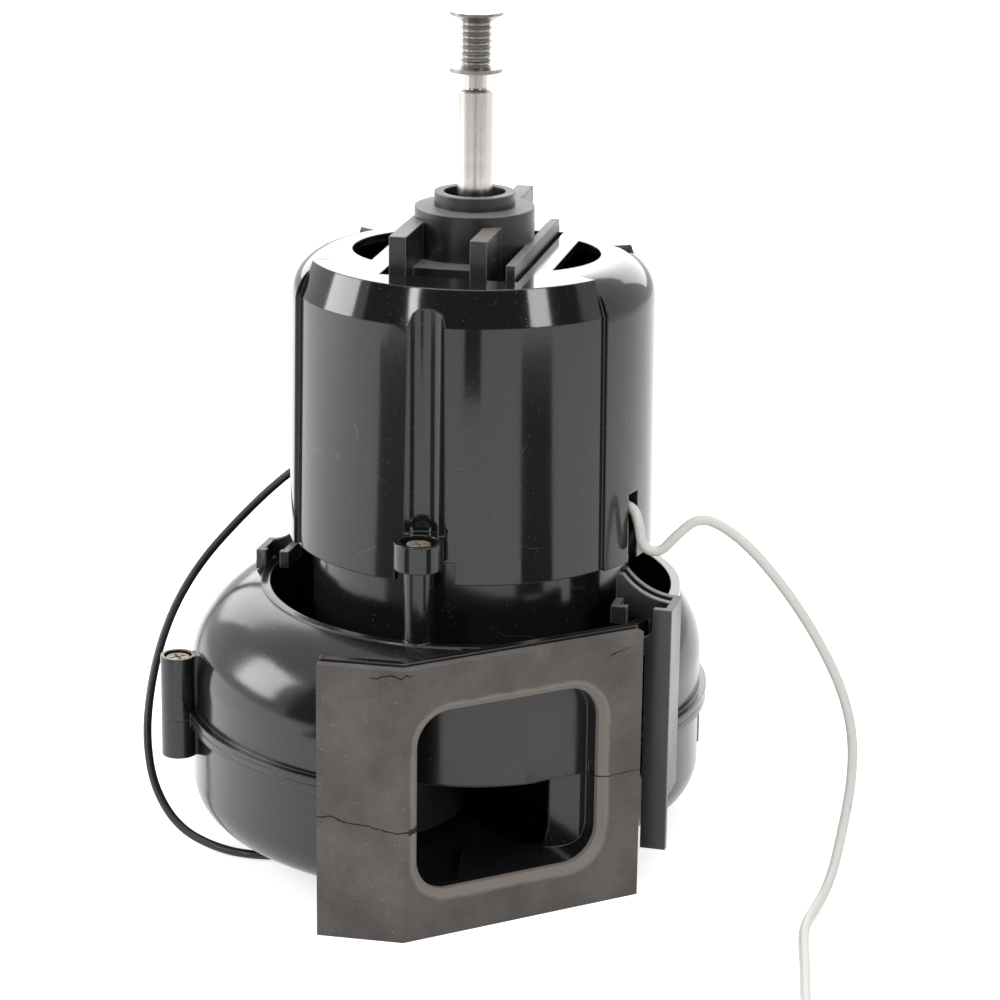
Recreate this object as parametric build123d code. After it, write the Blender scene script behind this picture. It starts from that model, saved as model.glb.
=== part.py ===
from build123d import *
from math import atan2, cos, degrees, pi, radians, sin, sqrt, tan
import os

# Upright vacuum motor unit: a brushed motor under a deep cover, standing in
# the well of a two-piece fan scroll with a rectangular outlet.
# Millimetres, Z along the motor shaft. The origin is at the lower end of the
# inlet collar, on the shaft axis. The outlet faces -Y.

# Shares that more than one piece follows
full_turn = 360
half_turn = 180
right_angle = 90
overrun = 2.0

# Fan housing
wall = 2.5
scroll_radius = 78.0
scroll_tight_share = 65.2 / 78.0
scroll_tight_radius = scroll_radius * scroll_tight_share
scroll_tangent_angle = 60
scroll_offset = scroll_radius - scroll_tight_radius
scroll_front = scroll_offset * sin(radians(scroll_tangent_angle)) - scroll_tight_radius
deck_height = 37.5
well_depth = 36.5
housing_floor = 8.0
housing_top = deck_height + well_depth
seam_height = 39.0
bottom_round = 11.0
shoulder_round = 24.0
bead_reach = 2.0
bead_height = 4.0
inlet_radius = 20.0
inlet_wall = 3.0
well_share = 56.0 / 78.0
well_radius = scroll_radius * well_share
deck_bore = 8.0
seam_gap = 0.1

# Outlet duct, flange and gasket
outlet_stand = 10.3851
outlet_face_y = scroll_front - outlet_stand
foam = 3.0
flange = 2.5
outlet_left = -48.5
outlet_right = 5.7
outlet_bottom = 12.4
outlet_top = 62.5
outlet_corner = 9.5
duct_cutoff_x = -3.0
duct_cutoff_depth = 13.9
duct_cutoff_y = outlet_face_y + duct_cutoff_depth
duct_reach_y = -well_radius / 2
gasket_bend_x = -53.0
gasket_right = 18.0
gasket_height = 75.6
gasket_wing = 23.3
wing_turn = 39.5
flange_margin = 1.0
flange_rise = 0.8
gasket_bevel = 2.0

# Motor cradle, on a rubber ring in the housing's well
ring_height = 2.0
cradle_floor = deck_height + ring_height
cradle_height = 65.5
cradle_top = cradle_floor + cradle_height

# Motor cover
cover_lift = 48.5
cover_rim = cradle_floor + cover_lift
cover_side_height = 69.5
cover_shoulder = cover_rim + cover_side_height
cover_slope_height = 9.5
cover_top = cover_shoulder + cover_slope_height
cover_recess_radius = 49.2
cover_raised_radius = 50.4
cover_draft = 0.9
cover_plate_radius = 44.8
cover_wall = 2.3
cover_raised_round = 11.0
flute_angle = 227.5
recess_half_sweep = 60
raised_sweep = 60
flute_reach = 52.1
flute_radius = 6.4
flute_lip_start = 48.0
flute_lip_half = 4.9
flute_back_wall = 1.2
flute_arch_drop = 11.6
flute_arch_height = cover_top - flute_arch_drop
collar_radius = 6.6
collar_height = 7.4
post_radius = 4.0
post_reach = 54.4
post_above_rim = 6.0
post_top = cover_rim + post_above_rim
rim_notch_half = 9.6
lead_slot_angle = 75
lead_slot_half = 2.6
lead_slot_height = 19.0
lead_slot_top = cover_rim + lead_slot_height
vent_chord = 24.7
vent_shift = -3.0
vent_half_length = 19.0
vent_bulge = 9.4

# Bearing bridge
tower_angle = 230
cutout_half_width = 18.6
cutout_half_length = 32.0
bridge_gap = 1.0
bridge_drop = 13.0
bridge_floor = cover_top - bridge_drop
bridge_plate = 4.0
boss_radius = 16.3
boss_height = 26.0
boss_top = bridge_floor + boss_height
spigot_radius = 11.0
spigot_height = 4.0
spigot_bore = 8.4
rib = 4.6
front_rib_drop = 3.0
front_rib_top = boss_top - front_rib_drop
side_wall_drop = 9.0
side_wall_top = boss_top - side_wall_drop
side_wall = 2.4
tab_width = 5.0
leg_inner = 35.6
leg_outer = 41.2
leg_half_width = 8.0
step_reach_shares = (0.4, 0.8)
step_height_share = 0.8
brush_beam_half = 8.0
brush_beam_reach = 37.0
brush_beam_drop = 4.0

# Bearings
bearing_radius = 11.11
bearing_height = 7.14
outer_race_inside = 9.3
inner_race_outside = 6.6
ball_radius = 1.05
ball_count = 8
cage_half = 0.5
lower_bearing_lift = 1.5
lower_bearing_floor = cradle_floor + lower_bearing_lift

# Shaft and pulley
shaft_radius = 4.76
shaft_reach = 32.0
shaft_shoulder = boss_top + shaft_reach
shaft_chamfer = 0.8
neck_radius = 3.05
neck_length = 4.5
pulley_floor = shaft_shoulder + neck_length
pulley_height = 16.0
pulley_top = pulley_floor + pulley_height
pulley_flange_radius = 7.1
pulley_flange = 1.5
pulley_groove_radius = 4.5
pulley_groove_depth = 0.8
pulley_groove_count = 7
pulley_bore = 2.5
tail_radius = 3.97
tail_top = cradle_floor

# Motor
cradle_radius = 44.0
cradle_wall = 2.0
cradle_plate = 2.5
cradle_hub_radius = 14.4
cradle_hub_height = 10.0
cradle_hub_top = cradle_floor + cradle_hub_height
cradle_port_radius = 4.5
cradle_port_reach = 27.0
cradle_port_count = 6
stack_lift = 42.5
stack_floor = cradle_floor + stack_lift
stack_height = 38.0
stack_top = stack_floor + stack_height
stack_radius = 41.7
stack_bore = 21.5
slot_radius = 34.2
pole_half = 36
slot_edge_half = 66
coil_edge_turn = 2
coil_gap = 0.4
coil_overhang = 8.6
air_gap = 0.6
armature_slots = 12
armature_slot_floor = 14.0
armature_slot_half = 1.7
winding_radius = 17.2
winding_overhang = 7.4
commutator_radius = 11.5
commutator_lift = 11.0
commutator_floor = stack_top + commutator_lift
commutator_height = 16.0
commutator_top = commutator_floor + commutator_height
commutator_bars = 24
commutator_slot_half = 0.25
commutator_slot_depth = 0.9
fan_lift = 8.5
fan_floor = cradle_hub_top + fan_lift
fan_height = 9.0
fan_top = fan_floor + fan_height
fan_radius = 36.0
fan_hub_radius = 9.0
fan_disc = 1.4
fan_blades = 9
fan_blade = 1.4

# Brushes
brush_height = commutator_floor + commutator_height / 2
brush_half = 3.1
brush_start = 11.8
brush_length = 14.0
holder_wall = 1.0
holder_start = 14.0
holder_end = 36.5
spring_radius = 2.3
spring_wire = 0.5
holder_cap = 1.2
running_gap = 0.3

# Impeller
impeller_gap = 2.9
impeller_radius = 2 * scroll_tight_radius - scroll_radius - wall - impeller_gap
impeller_drop = 5.5
impeller_top = deck_height - impeller_drop
impeller_plate = 2.0
impeller_floor_gap = 2.5
impeller_floor = housing_floor + wall + impeller_floor_gap
impeller_hub_radius = 10.0
impeller_hub_lift = 6.0
impeller_hub_floor = impeller_floor + impeller_hub_lift
impeller_blades = 6
impeller_blade = 1.8
impeller_blade_start = 9.0
blade_curve_share = 0.85
sleeve_radius = 7.0
drive_room = 1.5
washer_radius = 7.6
washer = 1.5
nut_radius = 7.2
nut_height = 5.5
tail_bottom = impeller_hub_floor - washer - nut_height - drive_room

# Screws and lugs
screw_radius = 1.6
screw_clearance = 0.1
screw_head_radius = 3.2
screw_head = 2.2
screw_depth = 13.0
screw_recess = 3.0
screw_recess_radius = 5.2
drive_length_share = 2 / 3
drive_width = 0.8
drive_depth = 1.0
lug_angles = (165, 100, 40)
lug_radius = 4.8
lug_out = 4.6
lug_floor = 28.0
lug_top = 57.0
clip_angle = 306
clip_out = 3.5
clip_half = 2.5
clip_floor = 27.0
clip_top = 38.0

# Wire bracket and guide
bracket_x = 15.8
bracket_y = -50.7
bracket_width = 16.7
bracket_depth = 13.2
bracket_wall = 2.0
bracket_above_housing = 5.0
bracket_top = housing_top + bracket_above_housing
bracket_front_height = 13.0
bracket_floor = bracket_top - bracket_front_height
bracket_back_top = cover_rim - bracket_wall
bracket_side_floor = 25.0
bracket_leg_floor = 10.0
bracket_leg_width = 7.0
bracket_middle_depth = 8.3
notch_start_share = 0.27
notch_width_share = 0.425
notch_depth = 8.5
sweep_radius_share = 1.08
sweep_centre_share = 0.96
guide_x = -42.5
guide_y = 29.5
guide_width = 9.5
guide_depth = 12.0

# Rating plate
plate_angle = 336
plate_half_sweep = 9
plate_floor = 23.0
plate_top = 36.0
plate_thickness = 0.4

# Thermal cut-out
cutout_switch_angle = 25
cutout_switch_length = 9.0
cutout_switch_depth = 4.6
cutout_switch_height = 5.0
cutout_switch_reach = 37.6

# Rings under the motor
ring_inner = 32.0
ring_outer = 42.5
seal_radius = 13.0

# Leads
black_lead_radius = 1.2
white_lead_radius = 1.4
lead_start = cradle_radius + running_gap
bend_share = 0.45
terminal_barrel = 6.0
terminal_blade = 14.0
terminal_width = 6.3
terminal_thickness = 0.8
black_route = [
    (-28.4, 44.6, cover_rim + 13.0),
    (-36.0, 50.2, cover_rim + 5.6),
    (-46.5, 53.2, housing_top + 9.4),
    (-58.2, 52.9, housing_top - 1.0),
    (-67.9, 50.3, housing_top - 11.8),
    (-75.2, 46.3, 50.6),
    (-80.9, 40.4, 38.6),
    (-83.9, 35.6, 27.2),
    (-84.2, 29.8, 15.2),
    (-80.4, 21.4, 5.4),
    (-72.4, 11.8, 1.25),
    (-64.6, 2.6, 1.25),
    (-55.2, -1.2, 1.25),
    (-46.4, 3.4, 1.25),
    (-42.4, 13.4, 1.25),
    (-42.0, 25.6, 1.25),
    (-39.4, 38.4, 1.25),
    (-33.2, 50.2, 1.25),
    (-24.8, 60.0, 1.25),
    (-17.2, 69.0, 1.25),
]
white_route = [
    (26.9, -42.2, cover_rim + 15.6),
    (28.0, -44.2, cover_rim + 10.0),
    (28.6, -45.0, cover_rim + 3.8),
    (32.8, -47.4, cover_rim + 2.4),
    (36.2, -49.2, cover_rim + 7.0),
    (42.0, -52.2, cover_rim + 13.0),
    (48.8, -56.4, cover_rim + 9.6),
    (56.4, -61.0, 89.6),
    (65.4, -67.1, 75.9),
    (72.4, -72.2, 61.6),
    (76.3, -75.6, 50.0),
    (77.4, -78.4, 39.2),
    (75.6, -81.0, 27.6),
    (71.0, -84.2, 15.4),
    (64.6, -89.2, 5.0),
    (56.2, -95.6, 1.45),
    (46.0, -104.6, 1.45),
    (38.4, -115.6, 1.45),
    (31.2, -127.4, 1.45),
    (22.6, -140.3, 1.45),
    (15.4, -153.0, 1.45),
    (10.6, -166.8, 1.45),
    (8.4, -181.4, 1.45),
]


def polar(reach, angle):
    return reach * cos(radians(angle)), reach * sin(radians(angle))


def rod(radius, bottom, top, x=0, y=0):
    base = Pos(x, y, bottom) * Circle(radius)
    return extrude(base, top - bottom, dir=(0, 0, 1))


def tube(outer, inner, bottom, top, x=0, y=0):
    hole = rod(inner, bottom - overrun, top + overrun, x, y)
    return rod(outer, bottom, top, x, y) - hole


def slab(x_low, x_high, y_low, y_high, z_low, z_high):
    size = (x_high - x_low, y_high - y_low, z_high - z_low)
    low_corner = (Align.MIN, Align.MIN, Align.MIN)
    return Pos(x_low, y_low, z_low) * Box(*size, align=low_corner)


def prism(points, bottom, top):
    face = Pos(0, 0, bottom) * make_face(Polyline(*points, close=True).edges())
    return extrude(face, top - bottom, dir=(0, 0, 1))


def sector(inner, outer, start, sweep, bottom, top):
    far = CenterArc((0, 0), outer, start, sweep)
    near = CenterArc((0, 0), inner, start, sweep)
    sides = [Line(far @ 1, near @ 1), Line(near @ 0, far @ 0)]
    face = Pos(0, 0, bottom) * make_face([far.edge(), near.edge()] + [s.edge() for s in sides])
    return extrude(face, top - bottom, dir=(0, 0, 1))


def turned(points, sweep=full_turn):
    face = Plane.XZ * make_face(Polyline(*points, close=True).edges())
    return revolve(face, axis=Axis.Z, revolution_arc=sweep)


def screw(top, length):
    body = rod(screw_head_radius, top - screw_head, top)
    body += rod(screw_radius, top - screw_head - length, top - screw_head)
    for turn in (0, right_angle):
        slot = slab(
            -screw_head_radius * drive_length_share,
            screw_head_radius * drive_length_share,
            -drive_width / 2,
            drive_width / 2,
            top - drive_depth,
            top + overrun,
        )
        body -= Rot(0, 0, turn) * slot
    return body


def in_tower(shape):
    return Rot(0, 0, tower_angle) * shape


# The scroll is two arcs in plan: a wide one at the back and left, and a tight
# one at the right that runs in to the cut-off beside the outlet.
def tight_centre():
    return polar(scroll_offset, scroll_tangent_angle)


def scroll_profile(radius, inset):
    low = housing_floor + inset
    high = housing_top - inset
    reach = radius - inset
    corners = [(0, low), (reach, low), (reach, high), (0, high)]
    face = make_face(Polyline(*corners, close=True).edges())
    outer = face.vertices().group_by(Axis.X)[-1].sort_by(Axis.Y)
    face = fillet(outer[0], bottom_round - inset)
    outer = face.vertices().group_by(Axis.Y)[-1].sort_by(Axis.X)
    return fillet(outer[-1], shoulder_round - inset)


def scroll_body(inset):
    wide_face = Plane.XZ * scroll_profile(scroll_radius, inset)
    wide = revolve(wide_face, axis=Axis.Z, revolution_arc=half_turn)
    tight_face = Plane.XZ * scroll_profile(scroll_tight_radius, inset)
    tight = revolve(tight_face, axis=Axis.Z, revolution_arc=full_turn)
    return Rot(0, 0, scroll_tangent_angle) * wide + Pos(*tight_centre()) * tight


def scroll_reach(angle):
    turn = radians(angle - scroll_tangent_angle)
    if sin(turn) >= 0:
        return scroll_radius
    across = scroll_offset * sin(turn)
    return scroll_offset * cos(turn) + sqrt(scroll_tight_radius ** 2 - across ** 2)


def scroll_bead():
    low = seam_height - bead_height / 2
    high = seam_height + bead_height / 2
    wide = Rot(0, 0, scroll_tangent_angle) * sector(
        well_radius / 2, scroll_radius + bead_reach, 0, half_turn, low, high
    )
    tight = Pos(*tight_centre()) * rod(scroll_tight_radius + bead_reach, low, high)
    return wide + tight


def ahead_of_flange(depth):
    return prism(bent_strip(-scroll_radius, depth), -overrun, housing_top + overrun)


def bent_strip(near, far):
    lean = radians(wing_turn)
    shift = tan(lean / 2)
    points = []
    for depth in (near, far):
        face_y = outlet_face_y + depth
        bend_x = gasket_bend_x + depth * shift
        side = [(gasket_right, face_y), (bend_x, face_y)]
        tip_x = gasket_bend_x - gasket_wing * cos(lean) + depth * sin(lean)
        tip_y = outlet_face_y + gasket_wing * sin(lean) + depth * cos(lean)
        side.append((tip_x, tip_y))
        points.append(side)
    return points[0] + points[1][::-1]


def outlet_place():
    centre_x = (outlet_right + outlet_left) / 2
    centre_z = (outlet_top + outlet_bottom) / 2
    return Plane.XZ * Pos(centre_x, centre_z)


def outlet_outline(margin):
    width = outlet_right - outlet_left + 2 * margin
    height = outlet_top - outlet_bottom + 2 * margin
    return RectangleRounded(width, height, outlet_corner + margin)


def outlet_hole(near, far):
    face = outlet_place() * outlet_outline(0)
    return extrude(Pos(0, near, 0) * face, far - near, dir=(0, 1, 0))


def duct_cavity():
    points = [
        (outlet_left, outlet_face_y),
        (outlet_right, outlet_face_y),
        (outlet_right, outlet_face_y + foam + flange),
        (duct_cutoff_x, duct_cutoff_y),
        (duct_cutoff_x, duct_reach_y),
        (outlet_left, duct_reach_y),
    ]
    plan = prism(points, outlet_bottom, outlet_top)
    tunnel = outlet_hole(outlet_face_y - overrun, 0)
    return plan & tunnel


def housing_shell():
    duct = slab(
        outlet_left - wall,
        outlet_right + wall,
        outlet_face_y + foam + flange / 2,
        duct_reach_y,
        outlet_bottom - wall,
        outlet_top + wall,
    )
    plate = prism(bent_strip(foam, foam + flange), flange_margin, gasket_height + flange_rise)
    collar = rod(inlet_radius + inlet_wall, 0, housing_floor + wall)
    well_wall = rod(well_radius + wall, deck_height - wall, housing_top)
    outside = scroll_body(0) + scroll_bead() - ahead_of_flange(foam + flange / 2)
    outside += duct + plate + collar + well_wall
    inside = scroll_body(wall) - ahead_of_flange(foam + flange) + duct_cavity()
    inside -= rod(well_radius + wall, deck_height - wall, housing_top)
    shell = outside - inside
    shell -= rod(well_radius, deck_height, housing_top + overrun)
    shell -= rod(deck_bore, deck_height - wall - overrun, deck_height + overrun)
    shell -= rod(inlet_radius, -overrun, housing_floor + wall + overrun)
    shell -= outlet_hole(outlet_face_y, outlet_face_y + foam + flange + overrun)
    return shell


def lug_place(angle):
    return polar(scroll_reach(angle) + lug_out, angle)


def housing_lugs(bottom, top):
    lugs = None
    for angle in lug_angles:
        x, y = lug_place(angle)
        web_start = scroll_reach(angle) - wall / 2
        web = slab(web_start, scroll_reach(angle) + lug_out, -lug_radius / 2, lug_radius / 2, bottom, top)
        lug = rod(lug_radius, bottom, top, x, y) + Rot(0, 0, angle) * web
        lug -= scroll_core(bottom, top)
        lugs = lug if lugs is None else lugs + lug
    return lugs


def scroll_core(bottom, top):
    half = Rot(0, 0, scroll_tangent_angle) * sector(
        wall, scroll_radius - wall / 2, 0, half_turn, bottom - overrun, top + overrun
    )
    tight = rod(scroll_tight_radius - wall / 2, bottom - overrun, top + overrun)
    return half + Pos(*tight_centre()) * tight


def seam_clip(gap):
    start = scroll_reach(clip_angle)
    half = clip_half + gap
    block = slab(start - wall / 2, start + clip_out + gap, -half, half, clip_floor - gap, clip_top + gap)
    return Rot(0, 0, clip_angle) * block


def lug_holes():
    holes = None
    for angle in lug_angles:
        x, y = lug_place(angle)
        hole = rod(screw_radius + screw_clearance, lug_floor + wall, lug_top + overrun, x, y)
        hole += rod(screw_head_radius + wall / 4, lug_top - screw_head - wall / 4, lug_top + overrun, x, y)
        holes = hole if holes is None else holes + hole
    return holes


def cover_posts():
    posts = None
    for turn in (0, half_turn):
        x, y = polar(post_reach, flute_angle + turn)
        post = rod(post_radius, deck_height - wall / 2, post_top, x, y)
        post -= rod(screw_radius + screw_clearance, post_top - screw_depth - wall, post_top + overrun, x, y)
        posts = post if posts is None else posts + post
    return posts


# The well's wall and deck belong to the upper half, though they reach below
# the seam
def well_body(gap):
    return rod(well_radius + wall + gap, deck_height - wall - gap, seam_height + seam_gap)


def lower_fan_housing(shell):
    reach = 2 * scroll_radius
    below = slab(-reach, reach, -reach, reach, -overrun, seam_height)
    half = (shell & below) + seam_clip(0)
    half -= well_body(seam_gap)
    half += housing_lugs(lug_floor, seam_height)
    return half - lug_holes()


def upper_fan_housing(shell):
    reach = 2 * scroll_radius
    above = slab(-reach, reach, -reach, reach, seam_height + seam_gap, housing_top + 2 * wall)
    half = (shell & above) + (shell & well_body(0))
    half += housing_lugs(seam_height + seam_gap, lug_top)
    half += cover_posts()
    return half - lug_holes()


def outlet_gasket():
    strip = prism(bent_strip(0, foam), 0, gasket_height)
    hole = outlet_hole(outlet_face_y - overrun, outlet_face_y + foam + overrun)
    strip -= hole
    mouth = loft_mouth()
    return strip - mouth


def loft_mouth():
    sections = []
    for margin, depth in ((gasket_bevel, -foam / 10), (0, foam / 2)):
        face = outlet_place() * outlet_outline(margin)
        sections.append(Pos(0, outlet_face_y + depth, 0) * face)
    return loft(sections)


# Motor cover
def cover_form(points, corner_round):
    face = make_face(Polyline(*points, close=True).edges())
    if corner_round:
        corner = face.vertices().group_by(Axis.Y)[-1].sort_by(Axis.X)[-1]
        face = fillet(corner, corner_round)
    return revolve(Plane.XZ * face, axis=Axis.Z, revolution_arc=full_turn)


def recess_skin(inset):
    top = cover_top - inset
    reach = cover_recess_radius - inset
    points = [
        (0, cover_rim),
        (reach, cover_rim),
        (reach - cover_draft, cover_shoulder),
        (cover_plate_radius - inset / 2, top),
        (0, top),
    ]
    return cover_form(points, 0)


def raised_skin(inset):
    top = cover_top - inset
    reach = cover_raised_radius - inset
    points = [(0, cover_rim), (reach, cover_rim), (reach - cover_draft, top), (0, top)]
    return cover_form(points, cover_raised_round - inset)


def wedge(start, sweep, bottom, top):
    points = [(0, 0)]
    for share in (0, 1 / 2, 1):
        points.append(polar(2 * cover_raised_radius, start + sweep * share))
    return prism(points, bottom, top)


def raised_bands():
    start = flute_angle + recess_half_sweep
    bottom = cover_rim - overrun
    top = cover_top + overrun
    front = wedge(start, raised_sweep, bottom, top)
    return front + wedge(start + half_turn, raised_sweep, bottom, top)


# The flute is half round, with an arched upper end and flared lips
def flute_cut():
    mouth = cover_raised_radius + overrun
    flare = mouth - flute_lip_start
    bottom = post_top + collar_height
    round_part = rod(flute_radius, bottom, cover_top, flute_reach)
    straight = slab(0, 2 * mouth, -flute_radius, flute_radius, bottom, flute_arch_height)
    arch = Pos(0, 0, flute_arch_height) * Rot(0, right_angle, 0) * rod(flute_radius, 0, 2 * mouth)
    lips = [
        (flute_lip_start, -flute_lip_half),
        (mouth, -flute_lip_half - flare),
        (mouth, flute_lip_half + flare),
        (flute_lip_start, flute_lip_half),
    ]
    mouth_arch = Cone(flute_lip_half, flute_lip_half + flare, flare)
    mouth_arch = Pos(flute_lip_start + flare / 2, 0, flute_arch_height) * Rot(0, right_angle, 0) * mouth_arch
    cut = round_part & (straight + arch)
    cut += prism(lips, bottom, flute_arch_height) + mouth_arch
    return Rot(0, 0, flute_angle) * cut


def flute_back():
    radius = flute_radius + flute_back_wall
    top = flute_arch_height + radius
    block = rod(radius, post_top, top, flute_reach)
    return Rot(0, 0, flute_angle) * block & recess_skin(cover_wall / 2)


def vent():
    start = vent_shift - vent_half_length
    end = vent_shift + vent_half_length
    curve = ThreePointArc((start, vent_chord), (vent_shift, vent_chord + vent_bulge), (end, vent_chord))
    edge = Line((end, vent_chord), (start, vent_chord))
    face = Pos(0, 0, cover_top - 4 * cover_wall) * make_face([curve.edge(), edge.edge()])
    right = extrude(face, 4 * cover_wall + overrun, dir=(0, 0, 1))
    return right + mirror(right, about=Plane.XZ)


def motor_cover():
    bands = raised_bands()
    skin = recess_skin(0) - bands + (raised_skin(0) & bands)
    skin -= recess_skin(cover_wall) & raised_skin(cover_wall)
    for turn in (0, half_turn):
        side = Rot(0, 0, turn)
        x, y = polar(post_reach, flute_angle)
        skin += side * flute_back()
        skin += side * rod(collar_radius, post_top + seam_gap, post_top + collar_height, x, y)
        skin -= side * flute_cut()
        recess_floor = post_top + collar_height - screw_recess
        skin -= side * rod(screw_recess_radius, recess_floor, post_top + collar_height + overrun, x, y)
        hole = rod(screw_radius + screw_clearance, post_top - overrun, post_top + 2 * collar_height, x, y)
        skin -= side * hole
        notch = wedge(
            flute_angle - rim_notch_half,
            2 * rim_notch_half,
            cover_rim - overrun,
            post_top + seam_gap,
        )
        skin -= side * notch
        slot = slab(
            cradle_radius,
            2 * cover_raised_radius,
            -lead_slot_half,
            lead_slot_half,
            cover_rim - overrun,
            lead_slot_top,
        )
        skin -= side * Rot(0, 0, flute_angle + lead_slot_angle) * slot
    skin -= in_tower(vent())
    skin -= in_tower(
        slab(
            -cutout_half_length,
            cutout_half_length,
            -cutout_half_width,
            cutout_half_width,
            cover_top - 3 * cover_wall,
            cover_top + overrun,
        )
    )
    return skin


# Bearing bridge
def bearing_bridge():
    half = cutout_half_width - bridge_gap
    front = cutout_half_length - bridge_gap
    plate_top = bridge_floor + bridge_plate
    pocket_top = upper_bearing_floor() + bearing_height
    body = slab(-leg_outer, leg_outer, -half, half, bridge_floor, plate_top)
    body &= rod(cover_recess_radius - 3 * cover_wall, bridge_floor, plate_top)
    body += rod(boss_radius, bridge_floor, boss_top)
    body += rod(spigot_radius, boss_top, boss_top + spigot_height)
    left_rib = -boss_radius + rib
    for low in (-boss_radius, boss_radius / 3):
        body += slab(0, front, low, low + rib, plate_top, front_rib_top)
    body += slab(-front, front, half - side_wall, half, plate_top, side_wall_top)
    body += slab(-front, -boss_radius / 2, boss_radius / 3, boss_radius / 3 + rib, plate_top, boss_top)
    body += slab(-tab_width / 2, tab_width / 2, -half, -boss_radius + wall, plate_top, side_wall_top)
    for share in step_reach_shares:
        reach = boss_radius + (front - boss_radius) * share
        level = plate_top + (front_rib_top - plate_top) * (1 - share) * step_height_share
        body += slab(boss_radius - rib, reach, left_rib, boss_radius / 3, plate_top, level)
    beam = slab(
        -brush_beam_half,
        brush_beam_half,
        -brush_beam_reach,
        brush_beam_reach,
        bridge_floor - brush_beam_drop,
        bridge_floor,
    )
    body += beam
    holder_top = brush_height + brush_half + holder_wall + running_gap
    for side in (-1, 1):
        near = side * (brush_beam_reach - 3 * rib)
        far = side * (brush_beam_reach - rib / 2)
        block = slab(
            -brush_beam_half / 2,
            brush_beam_half / 2,
            min(near, far),
            max(near, far),
            holder_top,
            bridge_floor,
        )
        body += block
        low = min(side * leg_inner, side * leg_outer)
        high = max(side * leg_inner, side * leg_outer)
        body += slab(low, high, -leg_half_width, leg_half_width, stack_top, bridge_floor + wall)
        screw_x = side * (leg_inner + leg_outer) / 2
        body -= rod(screw_radius + screw_clearance, stack_top - overrun, plate_top + overrun, screw_x, 0)
    body -= rod(bearing_radius, bridge_floor - brush_beam_drop - overrun, pocket_top)
    body -= rod(spigot_bore, bridge_floor, boss_top + spigot_height + overrun)
    return in_tower(body)


def upper_bearing_floor():
    return boss_top - bearing_height - 3 * wall


# Bearings
def outer_race(bottom):
    return tube(bearing_radius, outer_race_inside, bottom, bottom + bearing_height)


def inner_race(bottom):
    return tube(inner_race_outside, shaft_radius, bottom, bottom + bearing_height)


def ball_set(bottom):
    middle = bottom + bearing_height / 2
    pitch = (outer_race_inside + inner_race_outside) / 2
    cage = tube(pitch + cage_half, pitch - cage_half, middle - cage_half, middle + cage_half)
    balls = []
    for number in range(ball_count):
        angle = full_turn / ball_count * number
        x, y = polar(pitch, angle)
        balls.append(Pos(x, y, middle) * Rot(0, 0, angle) * Rot(right_angle, 0, 0) * Sphere(ball_radius))
    return cage.fuse(*balls)


# Rotor
def rotor_shaft():
    points = [
        (0, tail_bottom),
        (tail_radius - shaft_chamfer, tail_bottom),
        (tail_radius, tail_bottom + shaft_chamfer),
        (tail_radius, tail_top),
        (shaft_radius, tail_top),
        (shaft_radius, shaft_shoulder - shaft_chamfer),
        (shaft_radius - shaft_chamfer, shaft_shoulder),
        (neck_radius, shaft_shoulder),
        (neck_radius, pulley_floor),
        (pulley_bore, pulley_floor),
        (pulley_bore, pulley_top - pulley_flange),
        (0, pulley_top - pulley_flange),
    ]
    return turned(points)


def drive_pulley():
    groove_floor = pulley_floor + pulley_flange
    groove_top = pulley_top - 1.5 * pulley_flange
    pitch = (groove_top - groove_floor) / pulley_groove_count
    points = [(0, pulley_floor), (pulley_flange_radius, pulley_floor)]
    points.append((pulley_flange_radius, groove_floor - pulley_flange / 3))
    for number in range(pulley_groove_count):
        low = groove_floor + pitch * number
        inner = pulley_groove_radius - pulley_groove_depth
        points.append((pulley_groove_radius, low))
        points.append((inner, low + pitch / 3))
        points.append((inner, low + pitch * 2 / 3))
    points.append((pulley_groove_radius, groove_top))
    points.append((pulley_flange_radius, groove_top + pulley_flange))
    points.append((pulley_flange_radius, pulley_top))
    points.append((0, pulley_top))
    return turned(points) - rod(pulley_bore, pulley_floor - overrun, pulley_top - pulley_flange)


def armature_bars(grow):
    bars = None
    half = armature_slot_half + grow
    for number in range(armature_slots):
        bar = slab(
            armature_slot_floor - grow,
            stack_bore - air_gap - armature_slot_half - running_gap + grow,
            -half,
            half,
            stack_floor - overrun,
            stack_top + overrun,
        )
        bar = Rot(0, 0, full_turn / armature_slots * number) * bar
        bars = bar if bars is None else bars + bar
    return bars


def armature_core():
    core = tube(stack_bore - air_gap, shaft_radius, stack_floor, stack_top)
    core -= armature_bars(running_gap / 2)
    for number in range(armature_slots):
        mouth = slab(
            armature_slot_floor,
            stack_bore,
            -armature_slot_half / 3,
            armature_slot_half / 3,
            stack_floor - overrun,
            stack_top + overrun,
        )
        core -= Rot(0, 0, full_turn / armature_slots * number) * mouth
    return core


def armature_winding():
    inner = shaft_radius + wall
    low = tube(winding_radius, inner, stack_floor - winding_overhang, stack_floor - running_gap)
    high = tube(winding_radius, inner, stack_top + running_gap, stack_top + winding_overhang)
    low = fillet(low.edges().group_by(Axis.Z)[0], winding_overhang / 4)
    high = fillet(high.edges().group_by(Axis.Z)[-1], winding_overhang / 4)
    return low + high + armature_bars(0)


def commutator():
    body = tube(commutator_radius, shaft_radius, commutator_floor, commutator_top)
    for number in range(commutator_bars):
        slot = slab(
            commutator_radius - commutator_slot_depth,
            commutator_radius + overrun,
            -commutator_slot_half,
            commutator_slot_half,
            commutator_floor - overrun,
            commutator_top + overrun,
        )
        body -= Rot(0, 0, full_turn / commutator_bars * number) * slot
    return body


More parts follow.
